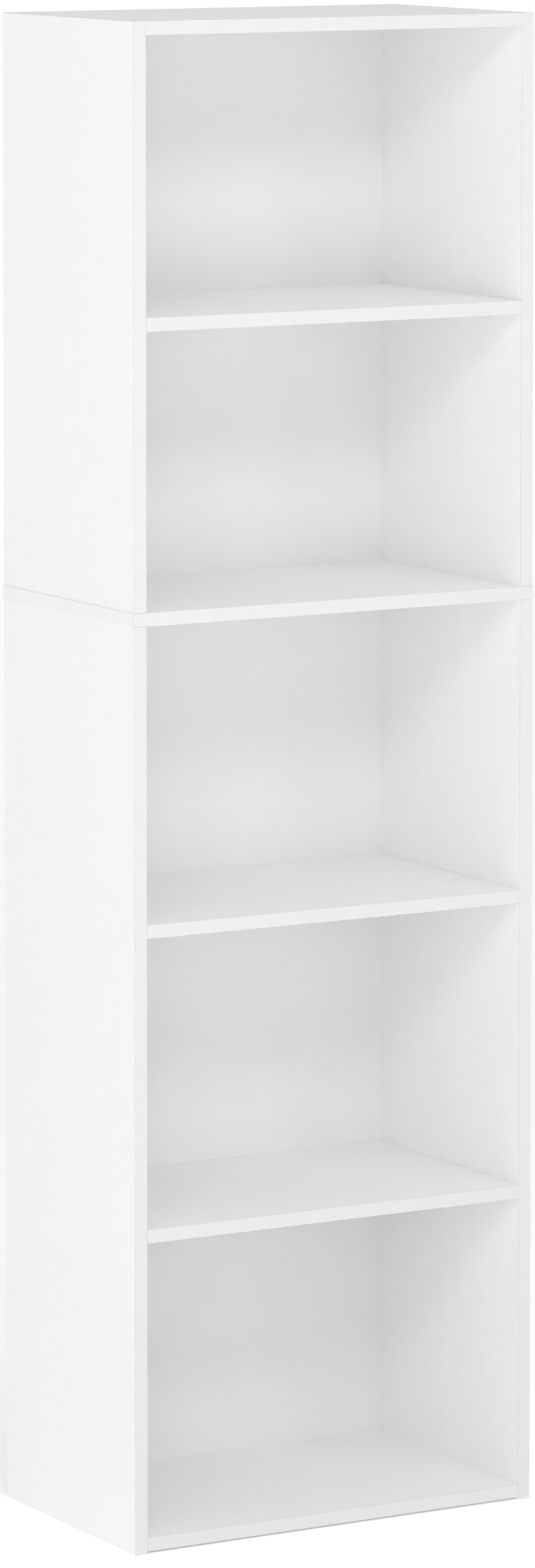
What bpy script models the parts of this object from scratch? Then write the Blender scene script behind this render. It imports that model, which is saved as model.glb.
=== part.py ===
"""Five-tier open bookcase of laminated board, with its loose shelves, pins, fittings and nails.

Units are metres and +Z is up. The origin lies on the floor under the middle of the case, whose open
front faces -Y. The sides are in two lengths, with the middle panel running right through between them.
"""

from math import cos, pi, sin

import bmesh
import bpy
from mathutils import Matrix, Vector

# Driving dimensions of the case
WIDTH = 0.400            # over the outer faces of the sides
DEPTH = 0.240            # from the front edges to the nail heads on the back
HEIGHT = 1.320
BOARD = 0.012            # thickness of the laminated board
SIDE_DEPTH = 0.237
FLOOR_GAP = 0.002        # clear height under the bottom panel
MIDDLE_OVERHANG = 0.001  # each end of the middle panel stands proud by its edge band

# Clear heights of the tiers
LOWER_TIERS = (0.257, 0.252, 0.257)
UPPER_TIERS = (0.240, 0.240)

# Edges and fits
EDGE_ROUND = 0.0005
END_ROUND = 0.0010       # the middle panel's outer ends
GAP = 0.0003             # between pieces that touch

# Back panels
BACK_BOARD = 0.0025
BACK_INSET = 0.002       # in from the outer faces of the sides

# Shelf pins
PIN_RADIUS = 0.0025
PIN_LENGTH = 0.016
PIN_CHAMFER = 0.0005
PIN_HOLE_DEPTH = 0.0084
PIN_SETBACK = 0.055      # from the shelf's front and rear edges

# Cams, each in a hole in a panel's underside
CAM_RADIUS = 0.0057
CAM_HEIGHT = 0.0090
CAM_CHAMFER = 0.0004
CAM_SINK = 0.0002
CAM_SETBACK = 0.037      # from the panel's front and rear edges
CAM_DISTANCE = 0.024     # from the side's face to the cam's axis
CAM_HOLE_RADIUS = 0.0060
CAM_HOLE_DEPTH = 0.0095
CAM_KEYHOLE_FLOOR = 0.0023
CAM_POCKET = (-0.0024, 0.0022, 0.0036)  # where the pocket for a bolt's head starts, ends, half width
CAM_SLOT_HALF_WIDTH = 0.0026
CAM_RECESS = (0.0032, 0.0006, 0.0013)   # reach, half width and depth of the cross recess

# Cam bolts
BOLT_THREAD_RADIUS = 0.0025
BOLT_THREAD_ROOT = 0.0017
BOLT_THREAD_CHAMFER = 0.0005
BOLT_HOLE_DEPTH = 0.0084
BOLT_BORE_RADIUS = 0.0038
BOLT_COLLAR_RADIUS = 0.0034
BOLT_COLLAR_END = 0.0015
BOLT_SHANK_RADIUS = 0.0021
BOLT_NECK_RADIUS = 0.0016
BOLT_NECK_END = 0.0226
BOLT_HEAD_RADIUS = 0.0031
BOLT_HEAD_TAPER = 0.0003
BOLT_HEAD_LENGTH = 0.0018
BOLT_TIP = (0.0022, 0.0008)             # radius and length of the head's rounded tip

# Wooden dowels
DOWEL_RADIUS = 0.003
DOWEL_CHAMFER = 0.0008
END_DOWEL_LENGTH = 0.030
END_DOWEL_IN_SIDE = 0.0078
MIDDLE_DOWEL_LENGTH = 0.040
MIDDLE_DOWEL_SETBACK = 0.030

# Screws of the middle joint
SCREW_LENGTH = 0.040
SCREW_RADIUS = 0.002
SCREW_POINT = (0.0004, 0.004)           # radius at the tip and length of the point
SCREW_HEAD_RADIUS = 0.004
SCREW_HEAD_RIM = 0.0003
SCREW_RECESS = (0.0021, 0.0005, 0.0013)
SCREW_SINK = 0.0004
SCREW_SETBACK = 0.080

# Back panel nails
NAIL_LENGTH = 0.020
NAIL_RADIUS = 0.0009
NAIL_POINT = (0.0002, 0.002)
NAIL_HEAD_RADIUS = 0.002
NAIL_HEAD_HEIGHT = 0.0005
NAIL_HEAD_PROUD = 0.0002
NAIL_SETBACK = 0.030     # from the ends of the sides

# How finely round things are drawn, and how far a cutter starts outside the face that it cuts
ROUND_SIDES = 12
HIDDEN_SIDES = 8
BREAKOUT = 0.001

# Levels and planes that follow from them
FRONT = -DEPTH / 2
SIDE_REAR = FRONT + SIDE_DEPTH
BACK_FRONT = SIDE_REAR + GAP
BACK_REAR = BACK_FRONT + BACK_BOARD
OUTER = WIDTH / 2
INNER = OUTER - BOARD
SIDE_MIDDLE = OUTER - BOARD / 2
BOTTOM_PANEL_Z = FLOOR_GAP
LOW_SHELF_Z = BOTTOM_PANEL_Z + BOARD + LOWER_TIERS[0]
HIGH_SHELF_Z = LOW_SHELF_Z + BOARD + LOWER_TIERS[1]
MIDDLE_Z = HIGH_SHELF_Z + BOARD + LOWER_TIERS[2]
UPPER_SHELF_Z = MIDDLE_Z + BOARD + UPPER_TIERS[0]
TOP_PANEL_Z = UPPER_SHELF_Z + BOARD + UPPER_TIERS[1]
CASE_MIDDLE_Y = (FRONT + SIDE_REAR) / 2
CAM_PLACES = (FRONT + CAM_SETBACK, SIDE_REAR - CAM_SETBACK)
PIN_PLACES = (FRONT + PIN_SETBACK, SIDE_REAR - PIN_SETBACK)
MIDDLE_DOWEL_PLACES = (FRONT + MIDDLE_DOWEL_SETBACK, SIDE_REAR - MIDDLE_DOWEL_SETBACK)
SCREW_PLACES = (FRONT + SCREW_SETBACK, SIDE_REAR - SCREW_SETBACK)

# Spans in height that several pieces share
BACK_JOINT_Z = MIDDLE_Z + BOARD / 2
SIDE_SPANS = {
    "upper": (MIDDLE_Z + BOARD + GAP, HEIGHT),
    "lower": (0.0, MIDDLE_Z - GAP),
}
BACK_SPANS = {
    "upper": (BACK_JOINT_Z + GAP, HEIGHT - BACK_INSET),
    "lower": (BOTTOM_PANEL_Z, BACK_JOINT_Z - GAP),
}
NAIL_LEVELS = {
    half: (low + NAIL_SETBACK, high - NAIL_SETBACK) for half, (low, high) in SIDE_SPANS.items()
}

SHELVES = (
    ("upper_shelf", "upper", UPPER_SHELF_Z),
    ("lower_shelf_high", "lower", HIGH_SHELF_Z),
    ("lower_shelf_low", "lower", LOW_SHELF_Z),
)
SIDES = (("left", -1), ("right", 1))
ENDS = ("front", "rear")

UP = Vector((0, 0, 1))
DOWN = Vector((0, 0, -1))
FORWARD = Vector((0, -1, 0))


def clear_scene():
    """Remove every object that the scene holds."""
    for thing in list(bpy.data.objects):
        bpy.data.objects.remove(thing, do_unlink=True)


def make_material(name, colour, roughness, metallic=0.0):
    """A Principled material with one colour, roughness and metallic value."""
    material = bpy.data.materials.new(name)
    material.use_nodes = True
    shader = material.node_tree.nodes["Principled BSDF"]
    shader.inputs["Base Color"].default_value = (*colour, 1.0)
    shader.inputs["Roughness"].default_value = roughness
    shader.inputs["Metallic"].default_value = metallic
    return material


def add_object(name, mesh, material, location, parent, direction=UP):
    """Link a mesh as an object whose local +Z points along direction."""
    thing = bpy.data.objects.new(name, mesh)
    thing.location = location
    thing.rotation_euler = UP.rotation_difference(direction).to_euler()
    thing.parent = parent
    if material is not None:
        mesh.materials.clear()
        mesh.materials.append(material)
    bpy.context.scene.collection.objects.link(thing)
    return thing


def finish_mesh(name, shape, smooth=False):
    """Turn a bmesh into a mesh with outward faces, shaded smooth where it is round."""
    bmesh.ops.recalc_face_normals(shape, faces=shape.faces)
    mesh = bpy.data.meshes.new(name)
    shape.to_mesh(mesh)
    shape.free()
    if smooth:
        mesh.shade_smooth()
        mesh.set_sharp_from_angle(angle=pi / 5)
    return mesh


def box_mesh(name, size):
    """A box of the given size about its own centre."""
    shape = bmesh.new()
    bmesh.ops.create_cube(shape, size=1.0)
    bmesh.ops.scale(shape, vec=size, verts=shape.verts)
    return finish_mesh(name, shape)


def add_turning(shape, profile, sides):
    """Add the solid turned about +Z from a profile of (radius, height) points."""
    angles = [2 * pi * step / sides for step in range(sides)]
    rings = []
    for radius, height in profile:
        ring = [shape.verts.new((radius * cos(turn), radius * sin(turn), height)) for turn in angles]
        rings.append(ring)
    for low, high in zip(rings, rings[1:]):
        for here in range(sides):
            there = (here + 1) % sides
            shape.faces.new((low[here], low[there], high[there], high[here]))
    shape.faces.new(rings[0][::-1])
    shape.faces.new(rings[-1])
    return [vert for ring in rings for vert in ring]


def add_prism(shape, outline, low, high):
    """Add the solid that extrudes an outline of (x, y) points from low to high."""
    floor = [shape.verts.new((x, y, low)) for x, y in outline]
    roof = [shape.verts.new((x, y, high)) for x, y in outline]
    shape.faces.new(floor[::-1])
    shape.faces.new(roof)
    count = len(outline)
    for here in range(count):
        there = (here + 1) % count
        shape.faces.new((floor[here], floor[there], roof[there], roof[here]))


def turned_mesh(name, profile, sides=ROUND_SIDES):
    """The mesh of one turned solid."""
    shape = bmesh.new()
    add_turning(shape, profile, sides)
    return finish_mesh(name, shape, smooth=True)


def cut_with(thing, cutter):
    """Cut one object with another, which is only a guide."""
    cutter.hide_render = True
    cutter.display_type = "WIRE"
    cut = thing.modifiers.new("cut", "BOOLEAN")
    cut.operation = "DIFFERENCE"
    cut.solver = "EXACT"
    cut.object = cutter


def drill(board, label, holes, parent):
    """Drill holes in a board; each is (mouth, direction inwards, profile, sides)."""
    shape = bmesh.new()
    for mouth, inwards, profile, sides in holes:
        verts = add_turning(shape, profile, sides)
        turn = UP.rotation_difference(inwards).to_matrix().to_4x4()
        bmesh.ops.transform(shape, matrix=Matrix.Translation(mouth) @ turn, verts=verts)
    name = f"{board.name}_{label}"
    cutter = add_object(name, finish_mesh(name, shape), None, (0, 0, 0), parent)
    cut_with(board, cutter)


def plain_hole(radius, depth):
    """The profile of a straight hole."""
    return ((radius, -BREAKOUT), (radius, depth))


def countersunk_hole():
    """The profile of a screw's clearance hole with its countersink, through the middle panel."""
    mouth = SCREW_HEAD_RADIUS + GAP
    bore = SCREW_RADIUS + GAP
    return (
        (mouth, -BREAKOUT),
        (mouth, SCREW_SINK + 2 * GAP),
        (bore, SCREW_SINK + 2 * GAP + mouth - bore),
        (bore, BOARD + BREAKOUT),
    )


def nail_hole():
    """The profile of a nail's hole through a back panel, with a shallow seat for its head."""
    seat = NAIL_HEAD_HEIGHT - NAIL_HEAD_PROUD + GAP
    return (
        (NAIL_HEAD_RADIUS + GAP, -BREAKOUT),
        (NAIL_HEAD_RADIUS + GAP, seat),
        (NAIL_RADIUS + GAP, seat),
        (NAIL_RADIUS + GAP, BACK_BOARD + BREAKOUT),
    )


def cross_outline(reach, half_width):
    """The outline of a cross recess."""
    a, b = reach, half_width
    return ((a, -b), (a, b), (b, b), (b, a), (-b, a), (-b, b), (-a, b), (-a, -b),
            (-b, -b), (-b, -a), (b, -a), (b, -b))


def add_board(name, low, high, material, parent, edge=EDGE_ROUND):
    """A board between two corners, with softened edges."""
    low, high = Vector(low), Vector(high)
    board = add_object(name, box_mesh(name, high - low), material, (low + high) / 2, parent)
    soften = board.modifiers.new("soften", "BEVEL")
    soften.width = edge
    soften.segments = 2
    soften.limit_method = "ANGLE"
    return board


def end_bores(sign, level):
    """The bores in one end of the top or bottom panel, for its cam bolts and its dowel."""
    inwards = Vector((-sign, 0, 0))
    end = sign * (INNER - GAP)
    bolt = plain_hole(BOLT_BORE_RADIUS, CAM_DISTANCE)
    dowel = plain_hole(DOWEL_RADIUS + GAP, END_DOWEL_LENGTH - END_DOWEL_IN_SIDE + GAP)
    bores = [(Vector((end, y, level)), inwards, bolt, HIDDEN_SIDES) for y in CAM_PLACES]
    bores.append((Vector((end, CASE_MIDDLE_Y, level)), inwards, dowel, HIDDEN_SIDES))
    return bores


def add_end_panel(name, level, material, parent):
    """The top or bottom panel, between the sides, drilled for its cams, bolts and dowels."""
    reach = INNER - GAP
    panel = add_board(name, (-reach, FRONT, level), (reach, SIDE_REAR, level + BOARD), material, parent)
    cams = []
    bores = []
    for _, sign in SIDES:
        for y in CAM_PLACES:
            mouth = Vector((sign * (INNER - CAM_DISTANCE), y, level))
            cams.append((mouth, UP, plain_hole(CAM_HOLE_RADIUS, CAM_HOLE_DEPTH), ROUND_SIDES))
        bores += end_bores(sign, level + BOARD / 2)
    drill(panel, "cam_holes", cams, parent)
    drill(panel, "end_bores", bores, parent)
    return panel


def add_middle_panel(material, parent):
    """The through panel between the upper and lower sides, with its dowel and screw holes."""
    reach = OUTER + MIDDLE_OVERHANG
    low = (-reach, FRONT, MIDDLE_Z)
    high = (reach, SIDE_REAR, MIDDLE_Z + BOARD)
    panel = add_board("middle_panel", low, high, material, parent, END_ROUND)
    through = plain_hole(DOWEL_RADIUS + GAP, BOARD + BREAKOUT)
    holes = []
    for _, sign in SIDES:
        for y in MIDDLE_DOWEL_PLACES:
            holes.append((Vector((sign * SIDE_MIDDLE, y, MIDDLE_Z)), UP, through, HIDDEN_SIDES))
        for y in SCREW_PLACES:
            mouth = Vector((sign * SIDE_MIDDLE, y, MIDDLE_Z))
            holes.append((mouth, UP, countersunk_hole(), HIDDEN_SIDES))
    drill(panel, "holes", holes, parent)
    return panel


def face_holes(sign, panel_level, shelf_levels):
    """The holes in a side's inner face: for one end panel's bolts and dowel, and for shelf pins."""
    outwards = Vector((sign, 0, 0))
    face = sign * INNER
    bolt = plain_hole(BOLT_THREAD_RADIUS + GAP, BOLT_HOLE_DEPTH)
    dowel = plain_hole(DOWEL_RADIUS + GAP, END_DOWEL_IN_SIDE + GAP)
    pin = plain_hole(PIN_RADIUS + GAP, PIN_HOLE_DEPTH)
    level = panel_level + BOARD / 2
    holes = [(Vector((face, y, level)), outwards, bolt, HIDDEN_SIDES) for y in CAM_PLACES]
    holes.append((Vector((face, CASE_MIDDLE_Y, level)), outwards, dowel, HIDDEN_SIDES))
    for shelf_level in shelf_levels:
        for y in PIN_PLACES:
            mouth = Vector((face, y, pin_level(shelf_level)))
            holes.append((mouth, outwards, pin, ROUND_SIDES))
    return holes


def rear_holes(sign, levels):
    """The holes in a side's rear edge for the back panel's nails."""
    profile = plain_hole(NAIL_RADIUS + GAP, NAIL_LENGTH)
    mouths = [Vector((sign * SIDE_MIDDLE, SIDE_REAR, level)) for level in levels]
    return [(mouth, FORWARD, profile, HIDDEN_SIDES) for mouth in mouths]


def add_side(half, side, sign, material, parent):
    """One side board of the upper or lower half, drilled in its face, joint end and rear edge."""
    low_z, high_z = SIDE_SPANS[half]
    panel_level = TOP_PANEL_Z if half == "upper" else BOTTOM_PANEL_Z
    inner, outer = sorted((sign * INNER, sign * OUTER))
    low = (inner, FRONT, low_z)
    high = (outer, SIDE_REAR, high_z)
    board = add_board(f"{half}_{side}_side", low, high, material, parent)
    levels = [level for _, place, level in SHELVES if place == half]
    holes = face_holes(sign, panel_level, levels) + rear_holes(sign, NAIL_LEVELS[half])

    joint_z, inwards = (low_z, UP) if half == "upper" else (high_z, DOWN)
    depth = (MIDDLE_DOWEL_LENGTH - BOARD) / 2 + GAP
    for y in MIDDLE_DOWEL_PLACES:
        mouth = Vector((sign * SIDE_MIDDLE, y, joint_z))
        holes.append((mouth, inwards, plain_hole(DOWEL_RADIUS + GAP, depth), HIDDEN_SIDES))
    if half == "upper":
        pilot = plain_hole(SCREW_RADIUS + GAP, SCREW_LENGTH - BOARD + 2 * GAP)
        for y in SCREW_PLACES:
            holes.append((Vector((sign * SIDE_MIDDLE, y, joint_z)), inwards, pilot, HIDDEN_SIDES))
    drill(board, "holes", holes, parent)
    return board


def add_shelf(name, level, material, parent):
    """A loose shelf, which lies on its four pins and draws forward out of the case."""
    reach = INNER - GAP
    low = (-reach, FRONT, level)
    high = (reach, SIDE_REAR, level + BOARD)
    return add_board(name, low, high, material, parent)


def add_back_panel(half, material, parent):
    """One of the two hardboard back panels, nailed to the sides' rear edges."""
    reach = OUTER - BACK_INSET
    low_z, high_z = BACK_SPANS[half]
    low = Vector((-reach, BACK_FRONT, low_z))
    high = Vector((reach, BACK_REAR, high_z))
    name = f"{half}_back_panel"
    panel = add_object(name, box_mesh(name, high - low), material, (low + high) / 2, parent)
    holes = []
    for _, sign in SIDES:
        for level in NAIL_LEVELS[half]:
            mouth = Vector((sign * SIDE_MIDDLE, BACK_REAR, level))
            holes.append((mouth, FORWARD, nail_hole(), HIDDEN_SIDES))
    drill(panel, "nail_holes", holes, parent)
    return panel


def pin_level(shelf_level):
    """The height of the pins' axes under a shelf."""
    return shelf_level - GAP - PIN_RADIUS


def peg_profile(radius, length, chamfer):
    """The profile of a peg with chamfered ends, standing on z = 0."""
    tip = radius - chamfer
    return ((tip, 0), (radius, chamfer), (radius, length - chamfer), (tip, length))


def pin_mesh():
    """A straight pin with chamfered ends, from the bottom of its hole to its free end."""
    return turned_mesh("shelf_pin", peg_profile(PIN_RADIUS, PIN_LENGTH, PIN_CHAMFER))


def add_shelf_pins(material, parent):
    """Four pins under each loose shelf."""
    mesh = pin_mesh()
    for shelf, _, level in SHELVES:
        for side, sign in SIDES:
            for end, y in zip(ENDS, PIN_PLACES):
                start = Vector((sign * (INNER + PIN_HOLE_DEPTH - GAP), y, pin_level(level)))
                name = f"{shelf}_pin_{side}_{end}"
                add_object(name, mesh, material, start, parent, Vector((-sign, 0, 0)))


def cam_mesh():
    """A cam disc with a cross recess in its face; its keyhole, above, takes the bolt's head."""
    rim = CAM_RADIUS - CAM_CHAMFER
    shape = bmesh.new()
    profile = ((rim, 0), (CAM_RADIUS, CAM_CHAMFER), (CAM_RADIUS, CAM_HEIGHT))
    add_turning(shape, profile, ROUND_SIDES)
    return finish_mesh("cam", shape, smooth=True)


def cam_cutter_mesh():
    """What is cut from a cam: the cross recess below and the keyhole from +X above."""
    pocket_back, pocket_front, pocket_half = CAM_POCKET
    slot_half, slot_end = CAM_SLOT_HALF_WIDTH, CAM_RADIUS + BREAKOUT
    keyhole = (
        (pocket_back, -pocket_half), (pocket_front, -pocket_half), (pocket_front, -slot_half),
        (slot_end, -slot_half), (slot_end, slot_half), (pocket_front, slot_half),
        (pocket_front, pocket_half), (pocket_back, pocket_half),
    )
    reach, half_width, depth = CAM_RECESS
    shape = bmesh.new()
    add_prism(shape, keyhole, CAM_KEYHOLE_FLOOR, CAM_HEIGHT + BREAKOUT)
    add_prism(shape, cross_outline(reach, half_width), -BREAKOUT, depth)
    return finish_mesh("cam_cutter", shape)


def bolt_mesh():
    """A cam bolt: thread, collar, shank, neck and head, with z = 0 at the side's face."""
    thread_start = GAP - BOLT_HOLE_DEPTH
    head_start = BOLT_NECK_END + BOLT_HEAD_TAPER
    head_end = head_start + BOLT_HEAD_LENGTH
    tip_radius, tip_length = BOLT_TIP
    profile = (
        (BOLT_THREAD_ROOT, thread_start), (BOLT_THREAD_RADIUS, thread_start + BOLT_THREAD_CHAMFER),
        (BOLT_THREAD_RADIUS, GAP), (BOLT_COLLAR_RADIUS, GAP), (BOLT_COLLAR_RADIUS, BOLT_COLLAR_END),
        (BOLT_SHANK_RADIUS, BOLT_COLLAR_END), (BOLT_NECK_RADIUS, BOLT_NECK_END),
        (BOLT_HEAD_RADIUS, head_start), (BOLT_HEAD_RADIUS, head_end),
        (tip_radius, head_end + tip_length),
    )
    return turned_mesh("cam_bolt", profile, HIDDEN_SIDES)


def add_cam_fittings(material, parent):
    """A cam and its bolt at each corner of the top and bottom panel."""
    cam, cutter_mesh, bolt = cam_mesh(), cam_cutter_mesh(), bolt_mesh()
    for panel, level in (("top", TOP_PANEL_Z), ("bottom", BOTTOM_PANEL_Z)):
        for side, sign in SIDES:
            for end, y in zip(ENDS, CAM_PLACES):
                place = f"{panel}_{side}_{end}"
                spot = Vector((sign * (INNER - CAM_DISTANCE), y, level + CAM_SINK))
                body = add_object(f"{place}_cam", cam, material, spot, parent)
                cutter = add_object(f"{place}_cam_cutter", cutter_mesh, None, spot, parent)
                if sign < 0:
                    cutter.rotation_euler.z = pi
                cut_with(body, cutter)
                face = Vector((sign * INNER, y, level + BOARD / 2))
                add_object(f"{place}_cam_bolt", bolt, material, face, parent, Vector((-sign, 0, 0)))


def dowel_mesh(name, length):
    """A wooden dowel with chamfered ends, standing on z = 0."""
    return turned_mesh(name, peg_profile(DOWEL_RADIUS, length, DOWEL_CHAMFER), HIDDEN_SIDES)


def add_dowels(material, parent):
    """One dowel in each end of the top and bottom panel, and two through each middle joint."""
    end_dowel = dowel_mesh("end_dowel", END_DOWEL_LENGTH)
    middle_dowel = dowel_mesh("middle_dowel", MIDDLE_DOWEL_LENGTH)
    foot_z = MIDDLE_Z + BOARD / 2 - MIDDLE_DOWEL_LENGTH / 2
    for side, sign in SIDES:
        inwards = Vector((-sign, 0, 0))
        for panel, level in (("top", TOP_PANEL_Z), ("bottom", BOTTOM_PANEL_Z)):
            start = Vector((sign * (INNER + END_DOWEL_IN_SIDE), CASE_MIDDLE_Y, level + BOARD / 2))
            add_object(f"{panel}_{side}_dowel", end_dowel, material, start, parent, inwards)
        for end, y in zip(ENDS, MIDDLE_DOWEL_PLACES):
            start = Vector((sign * SIDE_MIDDLE, y, foot_z))
            add_object(f"middle_{side}_{end}_dowel", middle_dowel, material, start, parent)


def add_middle_screws(material, parent):
    """Countersunk screws from the middle panel's underside up into the upper sides."""
    cone_end = SCREW_HEAD_RIM + SCREW_HEAD_RADIUS - SCREW_RADIUS
    tip_radius, point_length = SCREW_POINT
    profile = (
        (SCREW_HEAD_RADIUS, 0), (SCREW_HEAD_RADIUS, SCREW_HEAD_RIM), (SCREW_RADIUS, cone_end),
        (SCREW_RADIUS, SCREW_LENGTH - point_length), (tip_radius, SCREW_LENGTH),
    )
    mesh = turned_mesh("middle_screw", profile, HIDDEN_SIDES)
    reach, half_width, depth = SCREW_RECESS
    recess = bmesh.new()
    add_prism(recess, cross_outline(reach, half_width), -BREAKOUT, depth)
    recess_mesh = finish_mesh("screw_recess", recess)
    for side, sign in SIDES:
        for end, y in zip(ENDS, SCREW_PLACES):
            name = f"middle_{side}_{end}_screw"
            spot = Vector((sign * SIDE_MIDDLE, y, MIDDLE_Z + SCREW_SINK))
            screw = add_object(name, mesh, material, spot, parent)
            cutter = add_object(f"{name}_recess", recess_mesh, None, spot, parent)
            cut_with(screw, cutter)


def add_back_nails(material, parent):
    """A nail near each corner of both back panels."""
    tip_radius, point_length = NAIL_POINT
    profile = (
        (NAIL_HEAD_RADIUS, 0), (NAIL_HEAD_RADIUS, NAIL_HEAD_HEIGHT), (NAIL_RADIUS, NAIL_HEAD_HEIGHT),
        (NAIL_RADIUS, NAIL_LENGTH - point_length), (tip_radius, NAIL_LENGTH),
    )
    mesh = turned_mesh("back_nail", profile, HIDDEN_SIDES)
    for half, levels in NAIL_LEVELS.items():
        for side, sign in SIDES:
            for place, level in zip(("low", "high"), levels):
                head = Vector((sign * SIDE_MIDDLE, BACK_REAR + NAIL_HEAD_PROUD, level))
                name = f"{half}_back_nail_{side}_{place}"
                add_object(name, mesh, material, head, parent, FORWARD)


def build():
    """Model the whole bookcase."""
    clear_scene()
    white = make_material("white_laminate", (0.86, 0.86, 0.85), 0.45)
    backing = make_material("white_hardboard", (0.80, 0.80, 0.79), 0.60)
    steel = make_material("bright_steel", (0.70, 0.70, 0.71), 0.30, 1.0)
    beech = make_material("beech_dowel", (0.66, 0.49, 0.31), 0.65)

    bookcase = bpy.data.objects.new("bookcase", None)
    bpy.context.scene.collection.objects.link(bookcase)

    add_end_panel("top_panel", TOP_PANEL_Z, white, bookcase)
    add_end_panel("bottom_panel", BOTTOM_PANEL_Z, white, bookcase)
    add_middle_panel(white, bookcase)
    for half in ("upper", "lower"):
        for side, sign in SIDES:
            add_side(half, side, sign, white, bookcase)
        add_back_panel(half, backing, bookcase)
    for name, _, level in SHELVES:
        add_shelf(name, level, white, bookcase)
    add_shelf_pins(steel, bookcase)
    add_cam_fittings(steel, bookcase)
    add_dowels(beech, bookcase)
    add_middle_screws(steel, bookcase)
    add_back_nails(steel, bookcase)


build()
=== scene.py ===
"""Looks of the five-tier bookcase: laminated boards with edge bands, hardboard backs and fittings.

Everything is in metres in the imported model's own frame: +Z up, the open front facing -Y. Every
piece's mesh is in that frame too, so one material gives each board its own stretch of grain.
"""

import math

import bmesh
import bpy
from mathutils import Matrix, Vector

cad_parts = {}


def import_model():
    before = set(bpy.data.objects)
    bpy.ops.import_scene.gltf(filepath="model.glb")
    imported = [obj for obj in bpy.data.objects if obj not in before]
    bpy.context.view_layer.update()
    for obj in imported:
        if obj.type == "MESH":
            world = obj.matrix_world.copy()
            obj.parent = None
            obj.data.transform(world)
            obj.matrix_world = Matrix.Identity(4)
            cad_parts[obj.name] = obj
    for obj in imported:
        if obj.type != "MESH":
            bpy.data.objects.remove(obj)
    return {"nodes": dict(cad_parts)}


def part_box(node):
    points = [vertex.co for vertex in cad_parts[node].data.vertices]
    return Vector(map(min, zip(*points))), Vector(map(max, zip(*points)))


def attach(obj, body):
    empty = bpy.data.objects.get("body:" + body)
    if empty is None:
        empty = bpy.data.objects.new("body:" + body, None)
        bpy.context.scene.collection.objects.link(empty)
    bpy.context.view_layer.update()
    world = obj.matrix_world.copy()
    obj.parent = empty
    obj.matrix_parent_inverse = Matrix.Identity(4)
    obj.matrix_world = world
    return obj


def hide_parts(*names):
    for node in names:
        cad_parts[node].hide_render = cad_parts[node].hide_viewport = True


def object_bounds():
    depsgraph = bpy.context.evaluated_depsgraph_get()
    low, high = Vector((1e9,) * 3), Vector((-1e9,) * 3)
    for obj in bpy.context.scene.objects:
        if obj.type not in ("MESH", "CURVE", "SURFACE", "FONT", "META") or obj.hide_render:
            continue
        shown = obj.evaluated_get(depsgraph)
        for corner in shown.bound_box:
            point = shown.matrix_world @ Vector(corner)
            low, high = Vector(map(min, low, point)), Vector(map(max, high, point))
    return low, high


# Boards
BAND = 0.0008            # thickness of an edge band
BAND_ROUND = 0.0004      # rounding of an edge band's outer edges
END_BAND_ROUND = 0.0004  # the same at the middle panel's outer ends
BOARD_ROUND = 0.00004    # what sanding takes off a board's own edges
BACKING_ROUND = 0.0002
GLUE_LINE = 0.00001      # between a board and its edge band
SEAM = 0.00001           # left open where two boards meet
ROUND_STEPS = 3

# Whites of the surfaces, as one grey each
LAMINATE_WHITE = 0.905
# the front bands' grey is a greyer band white, darkened further to paint the shade that falls on the
# front faces
FRONT_BAND_SHADED_GREY = 0.65
END_BAND_GREY = 0.86
LACQUER_WHITE = 0.78     # the front of the hardboard
FLOOR_WHITE = 0.85

WIRE_PITCH = 0.0016      # of the wire marks on the rear of the hardboard
FLAT_ANGLE = 40          # degrees between two faces, above which their edge is shaded sharp
NAIL_FLAT_ANGLE = 30

# Faces of a board, as an axis and a direction along it
LEFT, RIGHT = (0, -1), (0, 1)
FRONT, REAR = (1, -1), (1, 1)
UNDER, OVER = (2, -1), (2, 1)

# Holes round the fittings
CLEARANCE = 0.0003
BREAKOUT = 0.001
HOLE_SIDES = 32
LEAST_OVERLAP = 0.0001
BORE_RADIUS = {"pin": 0.0028, "bolt": 0.0028, "cam": 0.0060, "dowel": 0.0033, "screw": 0.0023,
               "nail": 0.0012}
BOLT_BORE_RADIUS = 0.0038      # in a panel's end, wide enough for the bolt's collar
SCREW_SEAT = (0.0043, 0.0026)  # radius and depth of the seat for a screw's head

# Fittings
NAIL_RADIUS = 0.0009
NAIL_HEAD = 0.0020             # radius of the head
NAIL_HEAD_HEIGHT = 0.0005
NAIL_SIDES = 24
PANEL_NAIL_X = 0.075           # each side of the middle, in the panels' rear edges
EXTRA_SIDE_NAILS = {"upper": 1, "lower": 3}
JOINT_NAIL_OFFSET = 0.0031     # above and below the joint of the two back panels
PIN_ROUND = 0.0006
PIN_ROUND_ANGLES = (0, 22.5, 45, 67.5, 90)
CAM_SIDES = 48
CAM_CHAMFER = 0.0004
CAM_GROOVE = 0.0002            # how far the middle of a cam's face lies behind its rim
CAM_FACE_RADIUS = 0.0034
CAM_RIM_RADIUS = 0.0036
KEYHOLE_FLOOR = 0.0023         # height of the keyhole's floor above a cam's face
CROSS_DEPTH = 0.0013
CROSS_REACH = 0.0031
CROSS_HALF = 0.0006            # half the width of an arm
KEYHOLE = (                    # room for a bolt's head, open towards +X; mirrored on the left
    (-0.0024, -0.0036), (0.0022, -0.0036), (0.0022, -0.0026), (0.0067, -0.0026),
    (0.0067, 0.0026), (0.0022, 0.0026), (0.0022, 0.0036), (-0.0024, 0.0036),
)

# Camera: where it stands, which way it looks and what its lens does
CAMERA_PLACE = (-3.0608, -5.2955, 1.549)
CAMERA_TURN = -30.03           # degrees about +Z
CAMERA_PITCH = -4.61           # degrees above the horizon
LENS = 160.6                   # millimetres on a 36 mm sensor
RISE = -0.30                   # vertical shift, which keeps the uprights nearly parallel

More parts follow.
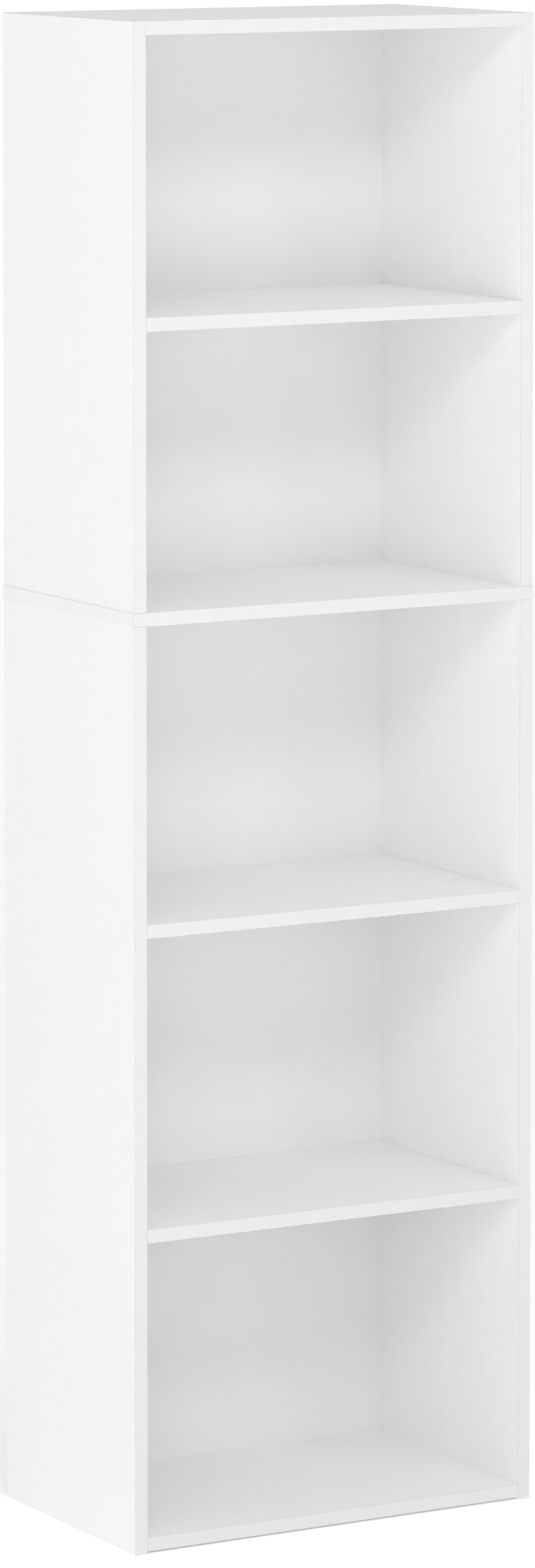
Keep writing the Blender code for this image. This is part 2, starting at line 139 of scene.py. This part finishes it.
# Studio
FLOOR_SIZE = 2000.0
FLOOR_GLOW = 0.36              # strength of the light that the floor gives off round the case
FAR_GLOW = 0.22                # added far from the case, where the soft boxes no longer reach
FAR_FROM, FAR_TO = 1.5, 8.0    # metres over which it comes in
PAINTED_SHADOW_EDGE = 0.0085            # over which the floor's glow fades under the case, leaving a painted shadow there
SKY = 0.495                    # strength of the world's light
HORIZON = 1.03                 # as bright as the far floor, so that no line shows between them
HORIZON_LOW, HORIZON_HIGH = 1.5, 6.0   # degrees over which it fades to the sky's strength
LIGHT_AIM = (0.0, 0.0, 0.66)
SOFT_BOXES = (
    # name, place, size, watts
    ("left_strip", (-4.1, -1.9, 0.85), 1.5, 6.3),
    ("front_left_box", (-2.9, -3.4, 1.7), 3.2, 16.0),
    ("front_low_box", (-1.2, -4.3, 0.85), 1.5, 4.8),
    ("front_high_box", (-0.9, -3.3, 4.0), 3.2, 28.0),
    ("key_box", (-1.8, -3.6, 3.2), 0.7, 19.0),
    ("far_left_key", (-2.8, -2.8, 2.8), 0.7, 6.8),
    ("middle_key", (0.2, -3.6, 3.2), 0.7, 5.0),
    ("right_key", (1.8, -3.6, 3.2), 0.7, 9.0),
    ("low_left_box", (-1.6, -2.6, 0.6), 0.7, 4.6),
    ("low_near_box", (-0.9, -1.7, 0.9), 0.5, 2.2),
    ("low_middle_box", (0.0, -2.8, 0.5), 0.7, 2.2),
    ("low_right_box", (1.5, -3.5, 1.0), 1.4, 3.2),
    ("top_box", (0.0, 0.0, 5.2), 3.2, 34.0),
)


# ---------------------------------------------------------------- materials

class Shader:
    """A Principled material, with short ways to add nodes and join them."""

    def __init__(self, name):
        self.material = bpy.data.materials.new(name)
        self.material.use_nodes = True
        self.tree = self.material.node_tree
        self.surface = self.tree.nodes["Principled BSDF"]

    def node(self, kind, **settings):
        made = self.tree.nodes.new(kind)
        for key, value in settings.items():
            setattr(made, key, value)
        return made

    def join(self, value, socket):
        """Feed a socket with another node's output, a number or a colour."""
        if isinstance(value, bpy.types.NodeSocket):
            self.tree.links.new(value, socket)
        elif isinstance(value, tuple):
            socket.default_value = (*value, 1.0)
        else:
            socket.default_value = value

    def place(self, scale=(1.0, 1.0, 1.0)):
        """Where a point lies in the frame, stretched along each axis."""
        source = self.node("ShaderNodeTexCoord")
        stretch = self.node("ShaderNodeVectorMath", operation="MULTIPLY")
        self.tree.links.new(source.outputs["Object"], stretch.inputs[0])
        stretch.inputs[1].default_value = scale
        return stretch.outputs[0]

    def noise(self, place, scale=1.0, detail=2.0, roughness=0.5):
        made = self.node("ShaderNodeTexNoise")
        self.join(place, made.inputs["Vector"])
        self.join(scale, made.inputs["Scale"])
        self.join(detail, made.inputs["Detail"])
        self.join(roughness, made.inputs["Roughness"])
        return made.outputs["Fac"]

    def flakes(self, place):
        """Cells with a random grey each."""
        made = self.node("ShaderNodeTexVoronoi")
        self.join(place, made.inputs["Vector"])
        self.join(1.0, made.inputs["Scale"])
        split = self.node("ShaderNodeSeparateColor")
        self.join(made.outputs["Color"], split.inputs[0])
        return split.outputs[0]

    def math(self, operation, first, second=0.0):
        made = self.node("ShaderNodeMath", operation=operation)
        self.join(first, made.inputs[0])
        self.join(second, made.inputs[1])
        return made.outputs[0]

    def total(self, *values):
        result = values[0]
        for value in values[1:]:
            result = self.math("ADD", result, value)
        return result

    def spread(self, value, low, high, new_low=0.0, new_high=1.0):
        """Map low..high to new_low..new_high, clamped."""
        made = self.node("ShaderNodeMapRange", clamp=True)
        for key, number in (("Value", value), ("From Min", low), ("From Max", high),
                            ("To Min", new_low), ("To Max", new_high)):
            self.join(number, made.inputs[key])
        return made.outputs["Result"]

    def blend(self, share, first, second):
        """Mix two colours."""
        made = self.node("ShaderNodeMix", data_type="RGBA")
        factor, first_socket, second_socket = made.inputs[0], made.inputs[6], made.inputs[7]
        self.join(share, factor)
        self.join(first, first_socket)
        self.join(second, second_socket)
        return made.outputs[2]

    def shade(self, tint, change):
        """A colour, made darker or lighter by a small signed change."""
        dark = tuple(value * 0.5 for value in tint)
        light = tuple(value * 1.5 for value in tint)
        return self.blend(self.math("ADD", change, 0.5), dark, light)

    def along(self, index):
        split = self.node("ShaderNodeSeparateXYZ")
        self.join(self.place(), split.inputs[0])
        return split.outputs[index]

    def bump(self, height, depth, strength=1.0):
        made = self.node("ShaderNodeBump")
        self.join(depth, made.inputs["Distance"])
        self.join(strength, made.inputs["Strength"])
        self.join(height, made.inputs["Height"])
        self.join(made.outputs["Normal"], self.surface.inputs["Normal"])

    def colour(self, value):
        self.join(value, self.surface.inputs["Base Color"])

    def roughness(self, value):
        self.join(value, self.surface.inputs["Roughness"])


def drawn_out(along, fine, axis):
    """Scales that draw a texture out along one axis."""
    return tuple(along if index == axis else fine for index in range(3))


def laminate(name, axis):
    """White melamine paper with a faint pressed wood grain along one axis."""
    tint = (LAMINATE_WHITE,) * 3
    shader = Shader(name)
    bands = shader.noise(shader.place(drawn_out(1.5, 70.0, axis)))
    streaks = shader.noise(shader.place(drawn_out(4.0, 260.0, axis)), detail=3.0, roughness=0.6)
    pores = shader.noise(shader.place(drawn_out(45.0, 1700.0, axis)))
    clouds = shader.noise(shader.place(), 9.0)
    mottle = shader.noise(shader.place(drawn_out(90.0, 330.0, axis)), detail=3.0)
    speckle = shader.noise(shader.place(), 1300.0, detail=1.0)
    change = shader.total(
        shader.spread(bands, 0.3, 0.7, -0.003, 0.003),
        shader.spread(streaks, 0.3, 0.7, -0.006, 0.006),
        shader.spread(pores, 0.32, 0.45, -0.006, 0.0),
        shader.spread(clouds, 0.3, 0.7, -0.005, 0.005),
        shader.spread(mottle, 0.3, 0.7, -0.009, 0.009),
        shader.spread(speckle, 0.3, 0.7, -0.005, 0.005),
    )
    shader.colour(shader.shade(tint, change))
    shader.roughness(shader.spread(pores, 0.3, 0.6, 0.52, 0.42))
    height = shader.total(shader.spread(pores, 0.32, 0.5), streaks, mottle)
    shader.bump(height, 0.00008, 0.8)
    return shader.material


def edge_band(name, axis, grey):
    """White plastic edge band with faint lines along its length."""
    tint = (grey,) * 3
    shader = Shader(name)
    lines = shader.noise(shader.place(drawn_out(3.0, 900.0, axis)))
    speckle = shader.noise(shader.place(), 900.0)
    change = shader.total(shader.spread(lines, 0.3, 0.7, -0.012, 0.012),
                          shader.spread(speckle, 0.3, 0.7, -0.012, 0.012))
    shader.colour(shader.shade(tint, change))
    shader.roughness(shader.spread(speckle, 0.3, 0.7, 0.38, 0.48))
    shader.bump(lines, 0.00002, 0.5)
    return shader.material


def chipboard():
    """The raw core of a board: pressed flakes of pale wood."""
    shader = Shader("raw_chipboard")
    flakes = shader.flakes(shader.place((420.0, 420.0, 900.0)))
    dust = shader.noise(shader.place(), 1600.0, detail=3.0)
    wood = shader.blend(flakes, (0.50, 0.34, 0.19), (0.74, 0.57, 0.37))
    shader.colour(shader.blend(shader.spread(dust, 0.42, 0.7), wood, (0.38, 0.25, 0.14)))
    shader.roughness(shader.spread(dust, 0.3, 0.7, 0.80, 0.95))
    shader.bump(shader.total(flakes, dust), 0.0002, 0.8)
    return shader.material


def hardboard(middle_y):
    """Hardboard: white lacquer in front of the plane y = middle_y, brown wire-marked fibre behind."""
    shader = Shader("hardboard")
    cloud = shader.noise(shader.place(), 14.0, detail=3.0, roughness=0.6)
    peel = shader.noise(shader.place(), 420.0)
    fibre = shader.noise(shader.place(), 700.0, detail=4.0, roughness=0.7)
    change = shader.total(shader.spread(cloud, 0.3, 0.7, -0.010, 0.010),
                          shader.spread(peel, 0.3, 0.7, -0.008, 0.008))
    white = shader.shade((LACQUER_WHITE,) * 3, change)
    brown = shader.blend(shader.spread(fibre, 0.3, 0.7), (0.25, 0.155, 0.085), (0.42, 0.29, 0.18))
    brown = shader.blend(shader.spread(cloud, 0.35, 0.7), brown, (0.36, 0.24, 0.145))
    waves = [shader.math("SINE", shader.math("MULTIPLY", shader.along(index), 2 * math.pi / WIRE_PITCH))
             for index in (0, 2)]
    weave = shader.math("MULTIPLY", waves[0], waves[1])
    rear = shader.spread(shader.along(1), middle_y - 0.0001, middle_y + 0.0001)
    shader.colour(shader.blend(rear, white, brown))
    shader.roughness(shader.spread(rear, 0.0, 1.0, 0.55, 0.82))
    rough = shader.total(shader.math("MULTIPLY", weave, 0.35), fibre)
    height = shader.total(shader.math("MULTIPLY", rough, rear), shader.math("MULTIPLY", peel, 0.15))
    shader.bump(height, 0.00012, 0.8)
    return shader.material


def metal(name, tint, polished, dull):
    """Plated or cast metal with fine marks and a slightly uneven sheen."""
    shader = Shader(name)
    marks = shader.noise(shader.place(), 900.0, detail=3.0, roughness=0.6)
    smudge = shader.noise(shader.place(), 160.0)
    shade = tuple(value * 0.82 for value in tint)
    shader.colour(shader.blend(shader.spread(smudge, 0.35, 0.75), tint, shade))
    shader.join(1.0, shader.surface.inputs["Metallic"])
    shader.roughness(shader.spread(marks, 0.3, 0.7, polished, dull))
    shader.bump(marks, 0.00003, 0.6)
    return shader.material


def beech(name, axis):
    """Plain beech with fine grain and short dark flecks along one axis."""
    shader = Shader(name)
    grain = shader.noise(shader.place(drawn_out(60.0, 1500.0, axis)), detail=3.0, roughness=0.6)
    flecks = shader.noise(shader.place(drawn_out(400.0, 2600.0, axis)), detail=1.0)
    wood = shader.blend(shader.spread(grain, 0.3, 0.7), (0.58, 0.39, 0.22), (0.72, 0.53, 0.34))
    shader.colour(shader.blend(shader.spread(flecks, 0.62, 0.72), wood, (0.36, 0.21, 0.11)))
    shader.roughness(shader.spread(grain, 0.3, 0.7, 0.58, 0.72))
    shader.bump(grain, 0.00006, 0.7)
    return shader.material


# ---------------------------------------------------------------- mesh helpers

def add_piece(name, shape, materials, body):
    """Turn a bmesh into a piece that rides on a body."""
    bmesh.ops.recalc_face_normals(shape, faces=shape.faces)
    mesh = bpy.data.meshes.new(name)
    shape.to_mesh(mesh)
    shape.free()
    for material in materials:
        mesh.materials.append(material)
    thing = bpy.data.objects.new(name, mesh)
    bpy.context.scene.collection.objects.link(thing)
    if body is not None:
        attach(thing, body)
    return thing


def settle(thing):
    """Put what a piece's modifiers make of its mesh in the mesh's place."""
    shown = thing.evaluated_get(bpy.context.evaluated_depsgraph_get())
    mesh = bpy.data.meshes.new_from_object(shown)
    thing.modifiers.clear()
    thing.data = mesh
    mesh.name = thing.name


def smooth(thing, angle=FLAT_ANGLE):
    """Shade a piece smooth across its roundings, with its flat faces kept flat."""
    thing.data.shade_smooth()
    thing.data.set_sharp_from_angle(angle=math.radians(angle))
    even = thing.modifiers.new("even", "WEIGHTED_NORMAL")
    even.keep_sharp = True
    settle(thing)


def box_shape(low, high):
    """A bmesh box between two corners."""
    shape = bmesh.new()
    bmesh.ops.create_cube(shape, size=1.0)
    bmesh.ops.scale(shape, vec=high - low, verts=shape.verts)
    bmesh.ops.translate(shape, vec=(low + high) / 2, verts=shape.verts)
    return shape


def faces_towards(shape, sides):
    """The faces of a box that look along any of the given (axis, direction) sides."""
    return [face for face in shape.faces if any(face.normal[axis] * way > 0.9 for axis, way in sides)]


def round_edges(shape, edges, radius):
    bmesh.ops.bevel(shape, geom=list(edges), offset=radius, offset_type="OFFSET", affect="EDGES",
                    segments=ROUND_STEPS, profile=0.5, clamp_overlap=True)


def add_turning(shape, profile, centre, axis, sides=HOLE_SIDES):
    """Add a solid turned about an axis, from a profile of (radius, place along the axis) points."""
    across, up = (axis + 1) % 3, (axis + 2) % 3
    rings = []
    for radius, place in profile:
        ring = []
        for step in range(sides):
            angle = 2 * math.pi * step / sides
            spot = Vector(centre)
            spot[axis] = place
            spot[across] += radius * math.cos(angle)
            spot[up] += radius * math.sin(angle)
            ring.append(shape.verts.new(spot))
        rings.append(ring)
    for first, second in zip(rings, rings[1:]):
        for here in range(sides):
            there = (here + 1) % sides
            shape.faces.new((first[here], first[there], second[there], second[here]))
    shape.faces.new(rings[0])
    shape.faces.new(rings[-1])


def add_prism(shape, outline, low, high):
    """Add the solid that an outline of (x, y) points sweeps from z = low to z = high."""
    floor = [shape.verts.new((x, y, low)) for x, y in outline]
    roof = [shape.verts.new((x, y, high)) for x, y in outline]
    shape.faces.new(floor)
    shape.faces.new(roof)
    for here in range(len(outline)):
        there = (here + 1) % len(outline)
        shape.faces.new((floor[here], floor[there], roof[there], roof[here]))


def cut(thing, shape, index=0):
    """Cut a bmesh solid out of a piece; the cut faces take the material of that index."""
    for face in shape.faces:
        face.material_index = index
    cutter = add_piece("cutter", shape, thing.data.materials, None)
    knife = thing.modifiers.new("cut", "BOOLEAN")
    knife.operation = "DIFFERENCE"
    knife.solver = "EXACT"
    knife.object = cutter
    settle(thing)
    bpy.data.objects.remove(cutter)


# ---------------------------------------------------------------- fittings and their holes

def kind_of(name):
    """Which kind of fitting a node is, or None for a board."""
    for mark, kind in (("_pin_", "pin"), ("_bolt", "bolt"), ("_cam", "cam"), ("_dowel", "dowel"),
                       ("_screw", "screw"), ("_nail_", "nail")):
        if mark in name:
            return kind
    return None


def axis_of(kind, low, high):
    """The axis a fitting is turned about: its longest, but for the flat cams."""
    if kind == "cam":
        return 2
    size = high - low
    return max(range(3), key=lambda index: size[index])


def hole_for(kind, low, high, board, board_low):
    """The hole that a board has for a fitting, as (profile, centre, axis)."""
    axis = axis_of(kind, low, high)
    radius = BORE_RADIUS[kind]
    start, stop = low[axis] - CLEARANCE, high[axis] + CLEARANCE
    if kind == "cam":
        start = board_low[axis] - BREAKOUT
    if kind == "bolt" and board.endswith("_panel"):
        radius = BOLT_BORE_RADIUS
    profile = [(radius, start), (radius, stop)]
    if kind == "screw" and board.endswith("_panel"):
        seat, depth = SCREW_SEAT
        mouth = board_low[axis] - BREAKOUT
        profile = [(seat, mouth), (seat, low[axis] + depth), (radius, low[axis] + depth), (radius, stop)]
    return profile, (low + high) / 2, axis


def overlap(first, second):
    """Whether two boxes share some room."""
    shared = [min(first[1][index], second[1][index]) - max(first[0][index], second[0][index])
              for index in range(3)]
    return min(shared) > LEAST_OVERLAP


def nail_places():
    """Where the nails go that the frame doesn't hold: name, x, z."""
    places = []
    for half, count in EXTRA_SIDE_NAILS.items():
        for side in ("left", "right"):
            low, high = (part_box(f"{half}_back_nail_{side}_{end}") for end in ("low", "high"))
            bottom, top = ((box[0] + box[1]) / 2 for box in (low, high))
            for step in range(1, count + 1):
                spot = bottom.lerp(top, step / (count + 1))
                places.append((f"{half}_back_nail_{side}_{step}", spot.x, spot.z))
    joint = (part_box("upper_back_panel")[0].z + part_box("lower_back_panel")[1].z) / 2
    rows = (
        ("upper_back_nail_top", middle_of("top_panel").z),
        ("upper_back_nail_joint", joint + JOINT_NAIL_OFFSET),
        ("lower_back_nail_joint", joint - JOINT_NAIL_OFFSET),
        ("lower_back_nail_bottom", middle_of("bottom_panel").z),
    )
    for row, level in rows:
        for side, way in (("left", -1), ("right", 1)):
            places.append((f"{row}_{side}", way * PANEL_NAIL_X, level))
    return places


def middle_of(node):
    low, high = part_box(node)
    return (low + high) / 2


def all_fittings(frame, nails):
    """Every fitting as (kind, box), with the nails that the frame doesn't hold."""
    fittings = [(kind_of(name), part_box(name)) for name in frame["nodes"] if kind_of(name)]
    pattern_low, pattern_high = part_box("upper_back_nail_left_low")
    middle = (pattern_low + pattern_high) / 2
    for _, x, z in nails:
        shift = Vector((x - middle.x, 0, z - middle.z))
        fittings.append(("nail", (pattern_low + shift, pattern_high + shift)))
    return fittings


# ---------------------------------------------------------------- boards

def board_plan():
    """Each laminated board with its banded faces and its raw ones."""
    plan = {
        "top_panel": ((FRONT,), (REAR, LEFT, RIGHT)),
        "middle_panel": ((FRONT, LEFT, RIGHT), (REAR,)),
        "bottom_panel": ((FRONT,), (REAR, LEFT, RIGHT)),
    }
    for side in ("left", "right"):
        plan[f"upper_{side}_side"] = ((FRONT, OVER), (REAR, UNDER))
        plan[f"lower_{side}_side"] = ((FRONT,), (REAR, UNDER, OVER))
    for shelf in ("upper_shelf", "lower_shelf_high", "lower_shelf_low"):
        plan[shelf] = ((FRONT, LEFT, RIGHT), (REAR,))
    return plan


def close_box(name):
    """A board's box, with the frame's working gaps to its neighbours closed to fine seams."""
    low, high = (Vector(corner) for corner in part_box(name))
    middle_low, middle_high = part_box("middle_panel")
    high.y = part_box("upper_back_panel")[0].y - SEAM
    if name.startswith("upper_") and name.endswith("_side"):
        low.z = middle_high.z + SEAM
    elif name.endswith("_side"):
        high.z = middle_low.z - SEAM
    elif name != "middle_panel":
        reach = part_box("upper_right_side")[0].x - SEAM
        low.x, high.x = -reach, reach
    return low, high


def add_boards(fittings):
    """Every laminated board, drilled, with its edge bands."""
    raw = chipboard()
    papers = {0: laminate("laminate_lengthwise", 0), 2: laminate("laminate_upright", 2)}
    bands = {
        # the front bands take the darkened grey, which paints the shade on the front faces
        "front": [edge_band(f"front_band_{axis}", index, FRONT_BAND_SHADED_GREY)
                  for index, axis in enumerate("xyz")],
        "other": [edge_band(f"end_band_{axis}", index, END_BAND_GREY)
                  for index, axis in enumerate("xyz")],
    }
    for name, (banded, bare) in board_plan().items():
        low, high = close_box(name)
        body = name if name.endswith(("shelf", "_high", "_low")) else "carcass"
        for side in banded:
            add_band(name, side, low, high, bands, body)
        paper = papers[2 if name.endswith("_side") else 0]
        shape = box_shape(low, high)
        for face in faces_towards(shape, bare):
            face.material_index = 1
        covered = {edge for face in faces_towards(shape, banded) for edge in face.edges}
        round_edges(shape, [edge for edge in shape.edges if edge not in covered], BOARD_ROUND)
        board = add_piece(f"{name}_board", shape, (paper, raw), body)
        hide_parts(name)
        drill(board, name, fittings, low, high)
        smooth(board)


def drill(board, name, fittings, low, high):
    """Drill a board for every fitting that enters it, one direction of holes at a time."""
    holes = [hole_for(kind, *box, name, low) for kind, box in fittings if overlap(box, (low, high))]
    for direction in range(3):
        chosen = [hole for hole in holes if hole[2] == direction]
        if chosen:
            shape = bmesh.new()
            for profile, centre, axis in chosen:
                add_turning(shape, profile, centre, axis)
            cut(board, shape, 1)


def add_band(name, side, low, high, bands, body):
    """Take one edge band's thickness off a board's box, and make the band in its place."""
    axis, way = side
    band_low, band_high = low.copy(), high.copy()
    if way < 0:
        low[axis] += BAND
        band_high[axis] = low[axis] - GLUE_LINE
    else:
        high[axis] -= BAND
        band_low[axis] = high[axis] + GLUE_LINE
    size = band_high - band_low
    length = max(range(3), key=lambda index: size[index])
    shape = box_shape(band_low, band_high)
    outer = faces_towards(shape, (side,))[0]
    radius = END_BAND_ROUND if name == "middle_panel" and axis == 0 else BAND_ROUND
    round_edges(shape, outer.edges, radius)
    label = {LEFT: "left", RIGHT: "right", FRONT: "front", OVER: "top"}[side]
    plastic = bands["front" if side == FRONT else "other"][length]
    band = add_piece(f"{name}_{label}_band", shape, (plastic,), body)
    smooth(band)


def add_back_panels(fittings):
    """The two hardboard back panels, with a hole for each nail."""
    board = hardboard(middle_of("upper_back_panel").y)
    for half in ("upper", "lower"):
        name = f"{half}_back_panel"
        low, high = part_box(name)
        shape = box_shape(low, high)
        round_edges(shape, shape.edges[:], BACKING_ROUND)
        panel = add_piece(f"{name}_board", shape, (board,), "carcass")
        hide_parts(name)
        holes = [hole_for(kind, *box, name, low) for kind, box in fittings
                 if kind == "nail" and overlap(box, (low, high))]
        cutter = bmesh.new()
        for profile, centre, axis in holes:
            seat_floor = profile[1][1] - CLEARANCE - NAIL_HEAD_HEIGHT - CLEARANCE
            seat = NAIL_HEAD + CLEARANCE
            radius = profile[0][0]
            profile = [profile[0], (radius, seat_floor), (seat, seat_floor), (seat, profile[1][1])]
            add_turning(cutter, profile, centre, axis)
        cut(panel, cutter)
        smooth(panel)


# ---------------------------------------------------------------- fittings that show

def add_nails(frame, nails, steel):
    """Flat-headed nails: those of the frame, drawn finer, and the rest of the row."""
    low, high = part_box("upper_back_nail_left_low")
    rear, tip = high.y, low.y
    under_head = rear - NAIL_HEAD_HEIGHT
    profile = ((0.0012, rear), (0.0018, rear - 0.00006), (NAIL_HEAD, rear - 0.0002),
               (NAIL_HEAD, under_head + 0.0001), (0.0019, under_head), (NAIL_RADIUS, under_head),
               (NAIL_RADIUS, tip + 0.002), (0.0002, tip))
    places = [(name, middle_of(name).x, middle_of(name).z, True)
              for name in frame["nodes"] if kind_of(name) == "nail"]
    places += [(name, x, z, False) for name, x, z in nails]
    for name, x, z, known in places:
        shape = bmesh.new()
        add_turning(shape, profile, (x, 0, z), 1, NAIL_SIDES)
        nail = add_piece(f"{name}_fine", shape, (steel,), "carcass")
        if known:
            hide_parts(name)
        smooth(nail, NAIL_FLAT_ANGLE)


def add_pins(frame, nickel):
    """Plain shelf pins with rounded ends."""
    for name in frame["nodes"]:
        if kind_of(name) != "pin":
            continue
        low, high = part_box(name)
        radius = (high.z - low.z) / 2
        first = []
        for angle in PIN_ROUND_ANGLES:
            turn = math.radians(angle)
            first.append((radius - PIN_ROUND + PIN_ROUND * math.sin(turn),
                          low.x + PIN_ROUND - PIN_ROUND * math.cos(turn)))
        last = [(reach, low.x + high.x - place) for reach, place in reversed(first)]
        shape = bmesh.new()
        add_turning(shape, first + last, (low + high) / 2, 0)
        pin = add_piece(f"{name}_fine", shape, (nickel,), "carcass")
        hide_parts(name)
        smooth(pin)


def add_cams(frame, cast):
    """Cam discs with a cross recess below and the keyhole that takes the bolt's head."""
    for name in frame["nodes"]:
        if kind_of(name) != "cam":
            continue
        low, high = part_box(name)
        middle = (low + high) / 2
        radius = (high.x - low.x) / 2
        face, top = low.z, high.z
        profile = ((CAM_FACE_RADIUS, face + CAM_GROOVE), (CAM_RIM_RADIUS, face),
                   (radius - CAM_CHAMFER, face), (radius, face + CAM_CHAMFER), (radius, top))
        shape = bmesh.new()
        add_turning(shape, profile, middle, 2, CAM_SIDES)
        cam = add_piece(f"{name}_fine", shape, (cast,), "carcass")
        way = math.copysign(1.0, middle.x)
        reach, half = CROSS_REACH, CROSS_HALF
        cross = ((reach, -half), (reach, half), (half, half), (half, reach), (-half, reach),
                 (-half, half), (-reach, half), (-reach, -half), (-half, -half), (-half, -reach),
                 (half, -reach), (half, -half))
        cutter = bmesh.new()
        add_prism(cutter, [(middle.x + way * x, middle.y + y) for x, y in KEYHOLE],
                  face + KEYHOLE_FLOOR, top + BREAKOUT)
        add_prism(cutter, [(middle.x + x, middle.y + y) for x, y in cross],
                  face - BREAKOUT, face + CROSS_DEPTH)
        cut(cam, cutter)
        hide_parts(name)
        smooth(cam)


def dress_nodes(frame, steel):
    """Materials for the CAD nodes that stay: bolts, dowels and screws."""
    dowels = {0: beech("beech_lengthwise", 0), 2: beech("beech_upright", 2)}
    for name, node in frame["nodes"].items():
        kind = kind_of(name)
        if kind == "dowel":
            material = dowels[axis_of(kind, *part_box(name))]
        elif kind in ("bolt", "screw"):
            material = steel
        else:
            continue
        node.data.materials.clear()
        node.data.materials.append(material)


# ---------------------------------------------------------------- stage, lights, camera

def make_stage(case_high):
    """A plain pale floor, which glows a little so that it stays white; the glow is left out under the
    case, which paints a shadow there.
    """
    half = FLOOR_SIZE / 2
    corners = [(-half, -half, 0), (half, -half, 0), (half, half, 0), (-half, half, 0)]
    mesh = bpy.data.meshes.new("floor")
    mesh.from_pydata(corners, [], [(0, 1, 2, 3)])
    floor = bpy.data.objects.new("floor", mesh)
    bpy.context.scene.collection.objects.link(floor)
    shader = Shader("pale_floor")
    inputs = shader.surface.inputs
    shader.colour((FLOOR_WHITE,) * 3)
    shader.roughness(0.9)
    shader.join(0.0, inputs["Specular IOR Level"])
    shader.join((1.0, 1.0, 1.0), inputs["Emission Color"])
    outside = [shader.math("SUBTRACT", shader.math("ABSOLUTE", shader.along(index)), case_high[index])
               for index in (0, 1)]
    beyond = shader.math("MAXIMUM", *outside)
    # no glow under the case: this paints the shadow beneath it
    glow_with_painted_shadow = shader.spread(beyond, -PAINTED_SHADOW_EDGE, 0.0, 0.0, FLOOR_GLOW)
    far = shader.spread(beyond, FAR_FROM, FAR_TO, 0.0, FAR_GLOW)
    shader.join(shader.total(glow_with_painted_shadow, far), inputs["Emission Strength"])
    mesh.materials.append(shader.material)


def make_lights():
    """A white room, brightest at the horizon, and soft boxes round the front and above."""
    world = bpy.data.worlds.new("studio")
    world.use_nodes = True
    tree = world.node_tree
    source = tree.nodes.new("ShaderNodeTexCoord")
    split = tree.nodes.new("ShaderNodeSeparateXYZ")
    fade = tree.nodes.new("ShaderNodeMapRange")
    background = tree.nodes["Background"]
    tree.links.new(source.outputs["Generated"], split.inputs[0])
    tree.links.new(split.outputs["Z"], fade.inputs["Value"])
    fade.inputs["From Min"].default_value = math.sin(math.radians(HORIZON_LOW))
    fade.inputs["From Max"].default_value = math.sin(math.radians(HORIZON_HIGH))
    fade.inputs["To Min"].default_value = HORIZON
    fade.inputs["To Max"].default_value = SKY
    tree.links.new(fade.outputs["Result"], background.inputs["Strength"])
    background.inputs["Color"].default_value = (1.0, 1.0, 1.0, 1.0)
    scene = bpy.context.scene
    scene.world = world
    scene.view_settings.view_transform = "Standard"
    aim = Vector(LIGHT_AIM)
    for name, place, size, watts in SOFT_BOXES:
        data = bpy.data.lights.new(name, "AREA")
        data.shape = "SQUARE"
        data.size = size
        data.energy = watts
        lamp = bpy.data.objects.new(name, data)
        lamp.location = place
        lamp.rotation_euler = (aim - lamp.location).to_track_quat("-Z", "Y").to_euler()
        lamp.visible_camera = False
        scene.collection.objects.link(lamp)


def make_camera():
    data = bpy.data.cameras.new("camera")
    data.lens = LENS
    data.shift_y = RISE
    camera = bpy.data.objects.new("camera", data)
    camera.location = CAMERA_PLACE
    camera.rotation_euler = (math.radians(90 + CAMERA_PITCH), 0, math.radians(CAMERA_TURN))
    bpy.context.scene.collection.objects.link(camera)
    bpy.context.scene.camera = camera


def build():
    """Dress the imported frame."""
    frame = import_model()
    cad_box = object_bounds()
    nails = nail_places()
    fittings = all_fittings(frame, nails)
    steel = metal("bright_zinc_steel", (0.68, 0.68, 0.70), 0.22, 0.38)
    add_boards(fittings)
    add_back_panels(fittings)
    add_nails(frame, nails, steel)
    add_pins(frame, metal("nickel_plate", (0.74, 0.72, 0.68), 0.18, 0.30))
    add_cams(frame, metal("zinc_casting", (0.55, 0.55, 0.56), 0.42, 0.60))
    dress_nodes(frame, steel)
    make_stage(cad_box[1])
    make_lights()
    make_camera()


build()
